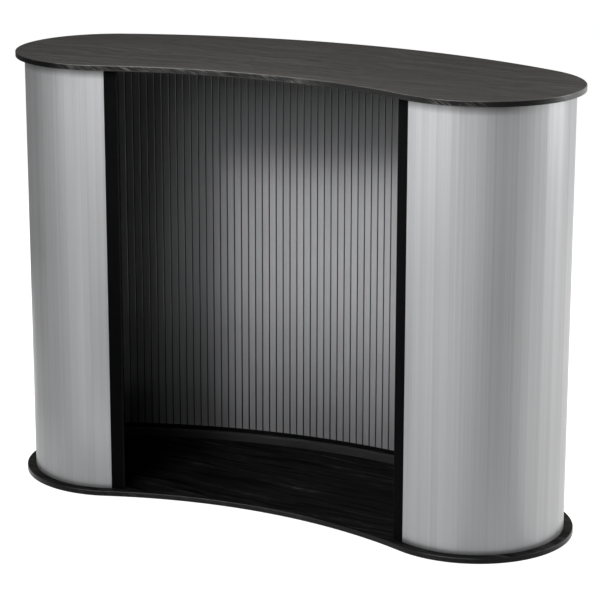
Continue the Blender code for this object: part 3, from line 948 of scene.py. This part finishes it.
def shown_rays(tree):
    """1 for rays from the camera and for what gloss and clear pieces show of the background, else 0."""
    path = tree.nodes.new("ShaderNodeLightPath")
    total = path.outputs["Is Camera Ray"]
    for name in ("Is Glossy Ray", "Is Transmission Ray"):
        larger = tree.nodes.new("ShaderNodeMath")
        larger.operation = "MAXIMUM"
        tree.links.new(total, larger.inputs[0])
        tree.links.new(path.outputs[name], larger.inputs[1])
        total = larger.outputs["Value"]
    return total


def light_world():
    """White where it shows, and a low even fill where it only lights."""
    world = bpy.data.worlds.new("studio")
    bpy.context.scene.world = world
    world.use_nodes = True
    tree = world.node_tree
    shown = tree.nodes["Background"]
    shown.inputs["Color"].default_value = (1, 1, 1, 1)
    shown.inputs["Strength"].default_value = 1.0
    fill = tree.nodes.new("ShaderNodeBackground")
    fill.inputs["Color"].default_value = (0.96, 0.98, 1.0, 1)
    fill.inputs["Strength"].default_value = AMBIENT
    mix = tree.nodes.new("ShaderNodeMixShader")
    tree.links.new(shown_rays(tree), mix.inputs["Fac"])
    tree.links.new(fill.outputs["Background"], mix.inputs[1])
    tree.links.new(shown.outputs["Background"], mix.inputs[2])
    tree.links.new(mix.outputs["Shader"], tree.nodes["World Output"].inputs["Surface"])


def stage_sheet(name, points, faces, material, unseen_by=()):
    """A sheet of the studio, which is no piece of the counter; some kinds of rays may pass through it."""
    mesh = bpy.data.meshes.new(name)
    mesh.from_pydata(points, [], faces)
    mesh.materials.append(material)
    sheet = bpy.data.objects.new(name, mesh)
    bpy.context.scene.collection.objects.link(sheet)
    for ray in unseen_by:
        setattr(sheet, "visible_" + ray, False)


def lay_floor():
    """A plain white floor that keeps the counter's shadow."""
    half = FLOOR_SIZE / 2
    level = -CLEARANCE
    corners = [(x, y, level) for x, y in ((-half, -half), (half, -half), (half, half), (-half, half))]
    material = bpy.data.materials.new("floor_white")
    material.use_nodes = True
    tree = material.node_tree
    tree.nodes.remove(tree.nodes["Principled BSDF"])
    matte = tree.nodes.new("ShaderNodeBsdfDiffuse")
    matte.inputs["Color"].default_value = (*grey(FLOOR_BOUNCE), 1)
    shade = tree.nodes.new("ShaderNodeBsdfDiffuse")
    shade.inputs["Color"].default_value = (*grey(FLOOR_SHADE), 1)
    glow = tree.nodes.new("ShaderNodeEmission")
    place = tree.nodes.new("ShaderNodeTexCoord")
    reach = tree.nodes.new("ShaderNodeVectorMath")
    reach.operation = "LENGTH"
    tree.links.new(place.outputs["Object"], reach.inputs[0])
    # Painted shade round the counter: the floor glows a little less within a few metres of it, so that the
    # counter's shadow shows there
    strength = tree.nodes.new("ShaderNodeMapRange")
    for name, value in (("From Min", 0.9), ("From Max", 3.5), ("To Min", 0.90), ("To Max", 1.0)):
        strength.inputs[name].default_value = value
    tree.links.new(reach.outputs["Value"], strength.inputs["Value"])
    tree.links.new(strength.outputs["Result"], glow.inputs["Strength"])
    white = tree.nodes.new("ShaderNodeAddShader")
    tree.links.new(shade.outputs["BSDF"], white.inputs[0])
    tree.links.new(glow.outputs["Emission"], white.inputs[1])
    mix = tree.nodes.new("ShaderNodeMixShader")
    tree.links.new(shown_rays(tree), mix.inputs["Fac"])
    tree.links.new(matte.outputs["BSDF"], mix.inputs[1])
    tree.links.new(white.outputs["Shader"], mix.inputs[2])
    tree.links.new(mix.outputs["Shader"], tree.nodes["Material Output"].inputs["Surface"])
    stage_sheet("floor", corners, [(0, 1, 2, 3)], material)


def hang_lamp(name, place, target, width, height, power, beam=180, tint=(1.0, 1.0, 1.0)):
    """A soft box that shines from a place at a target; a beam under 180 degrees stands for its grid."""
    data = bpy.data.lights.new(name, "AREA")
    data.shape = "RECTANGLE"
    data.size = width
    data.size_y = height
    data.energy = power
    data.spread = math.radians(beam)
    data.color = tint
    lamp = bpy.data.objects.new(name, data)
    lamp.location = place
    lamp.rotation_euler = (Vector(target) - Vector(place)).to_track_quat("-Z", "Y").to_euler()
    lamp.visible_camera = False
    bpy.context.scene.collection.objects.link(lamp)


def hang_lamps():
    """Key and accent from the operator's side, a rim lamp behind on the right and a wide one overhead."""
    hang_lamp(
        "key", place=(-0.28, -2.00, 2.05), target=(0.1, 0.1, 0.90),
        width=1.35, height=1.60, power=30,
    )
    hang_lamp(
        "accent", place=(-0.30, -2.40, 2.42), target=(0.03, 0.2, 0.63),
        width=0.7, height=0.8, power=1.25, beam=20,
    )
    hang_lamp(
        "rim", place=(3.0, 1.6, 1.55), target=(0.2, 0, 0.5),
        width=1.2, height=2.0, power=49,
    )
    hang_lamp(
        "overhead", place=(-1.2, 1.7, 2.7), target=(-0.2, 0, 1.0),
        width=3.0, height=1.0, power=90, tint=(1.0, 0.95, 0.88),
    )


def bent_card(name, centre, sector, first, last, tone):
    """A card bent round an end of the counter between two rims of (radius, height); only gloss shows it.

    The sector is two angles in degrees about the centre, counted from -Y towards +X.
    """
    start, end = sector
    steps = max(1, round(abs(end - start) / CARD_FACET_DEGREES))
    points = []
    for i in range(steps + 1):
        turn = math.radians(start + (end - start) * i / steps)
        for radius, height in (first, last):
            x = centre[0] + radius * math.sin(turn)
            y = centre[1] - radius * math.cos(turn)
            points.append((x, y, height))
    faces = [(2 * i, 2 * i + 1, 2 * i + 3, 2 * i + 2) for i in range(steps)]
    material = bpy.data.materials.new(name)
    material.use_nodes = True
    tree = material.node_tree
    tree.nodes.remove(tree.nodes["Principled BSDF"])
    glow = tree.nodes.new("ShaderNodeEmission")
    glow.inputs["Strength"].default_value = tone
    tree.links.new(glow.outputs["Emission"], tree.nodes["Material Output"].inputs["Surface"])
    stage_sheet(name, points, faces, material, ("camera", "diffuse", "shadow", "transmission"))


def stacked_cards(name, centre, sector, radius, levels, tones):
    """Upright cards one above another, each between two levels."""
    for number, (low, high, tone) in enumerate(zip(levels, levels[1:], tones), 1):
        bent_card(f"{name}_{number}", centre, sector, (radius, low), (radius, high), tone)


def ringed_cards(name, centre, sector, radii, tones):
    """Cards on the floor one beyond another, each between two radii."""
    for number, (near, far, tone) in enumerate(zip(radii, radii[1:], tones), 1):
        bent_card(f"{name}_{number}", centre, sector, (near, CLEARANCE), (far, CLEARANCE), tone)


def place_cards():
    """What the silver facing mirrors of the studio: dim sides, a bright upper front and the near floor."""
    foot = CLEARANCE
    skirt, near, far = 0.23, 0.55, 1.60
    low_head, high_head = 1.4, 2.2
    right_side, right_turn, right_front = (33, 71), (12, 33), (-4, -62)
    left_middle, left_front, left_side, left_edge = (20, 0), (-14, -34), (-34, -60), (-60, -100)
    bent_card("right_card", RIGHT_END, right_side, (far, foot), (far, high_head), tone=0.62)
    ringed_cards("right_floor_card", RIGHT_END, right_side, (skirt, near, 1.00, far), (0.88, 0.78, 0.70))
    bent_card("right_turn_card", RIGHT_END, right_turn, (far, foot), (far, 0.35), tone=0.80)
    bent_card("right_turn_floor_card", RIGHT_END, right_turn, (skirt, foot), (far, foot), tone=0.78)
    stacked_cards("left_card", LEFT_END, left_side, near, (foot, 0.40, low_head), (0.60, 0.50))
    stacked_cards(
        "left_edge_card", LEFT_END, left_edge, near,
        levels=(foot, 0.20, 0.40, 0.70, low_head), tones=(0.62, 0.47, 0.32, 0.26),
    )
    stacked_cards(
        "left_front_card", LEFT_END, left_front, near,
        levels=(foot, 0.65, 0.78, low_head), tones=(0.75, 0.88, 1.05),
    )
    stacked_cards(
        "right_front_card", RIGHT_END, right_front, 0.60,
        levels=(0.45, 0.57, 0.69, 0.80, 1.05), tones=(1.12, 1.28, 1.42, 1.58),
    )
    bent_card("back_card", LEFT_END, (-95, -203), (far, foot), (far, high_head), tone=0.24)
    bent_card("front_floor_card", LEFT_END, (30, -30), (skirt, foot), (near, foot), tone=0.72)
    stacked_cards(
        "left_middle_card", LEFT_END, left_middle, near,
        levels=(0.10, 0.45, 0.62, 0.72), tones=(0.68, 0.74, 0.84),
    )
    bent_card("left_floor_card", LEFT_END, (-30, -203), (skirt, foot), (near, foot), tone=0.85)


def black_card(name, corners, unseen_by):
    """A black card that no picture shows."""
    material = bpy.data.materials.new(name)
    material.use_nodes = True
    material.node_tree.nodes["Principled BSDF"].inputs["Base Color"].default_value = (0, 0, 0, 1)
    stage_sheet(name, corners, [(0, 1, 2, 3)], material, unseen_by)


def upright(first, last, low, high):
    """Corners of an upright card over the line between two plan points."""
    return [(*first, low), (*last, low), (*last, high), (*first, high)]


def darken_bay():
    """A flag against lamp light on the base board, and cards that swallow bounced light at its left end."""
    flag = ("camera", "diffuse", "glossy", "transmission")
    swallow = ("camera", "shadow", "transmission")
    black_card("foot_flag", upright((-0.32, -0.45), (0.24, -0.45), 0.40, 0.68), flag)
    side, back, head, roof = -0.30, 0.14, 0.20, 0.14
    black_card("corner_front", upright((-0.40, -0.225), (-0.12, -0.16), BOARD_THICKNESS, head), swallow)
    black_card("corner_side", upright((side, -0.20), (side, back), 0.04, head), swallow)
    plan = [(-0.60, -0.18), (side, -0.18), (side, back), (-0.57, 0.08)]
    black_card("corner_roof", [(*place, roof) for place in plan], swallow)


def set_camera():
    """The photograph's viewpoint, found by fitting the boards' outlines."""
    frame_pixels = 600
    focal_pixels = 2400
    place = Vector((2.4087, -4.6693, 1.9034))
    yaw, pitch, roll = 0.4763, 0.2693, 0.0013
    forward = Vector((-math.sin(yaw) * math.cos(pitch), math.cos(yaw) * math.cos(pitch), -math.sin(pitch)))
    right = Vector((math.cos(yaw), math.sin(yaw), 0))
    up = right.cross(forward)
    right, up = (
        math.cos(roll) * right + math.sin(roll) * up,
        math.cos(roll) * up - math.sin(roll) * right,
    )
    data = bpy.data.cameras.new("photo_camera")
    data.sensor_width = 36
    data.lens = focal_pixels * data.sensor_width / frame_pixels
    data.clip_end = 100
    camera = bpy.data.objects.new("photo_camera", data)
    matrix = Matrix((right, up, -forward)).transposed().to_4x4()
    matrix.translation = place
    camera.matrix_world = matrix
    bpy.context.scene.collection.objects.link(camera)
    bpy.context.scene.camera = camera


dress_boards()
dress_wrap()
dress_screws()

light_world()
lay_floor()
hang_lamps()
place_cards()
darken_bay()
set_camera()
bpy.context.scene.view_settings.view_transform = "Standard"
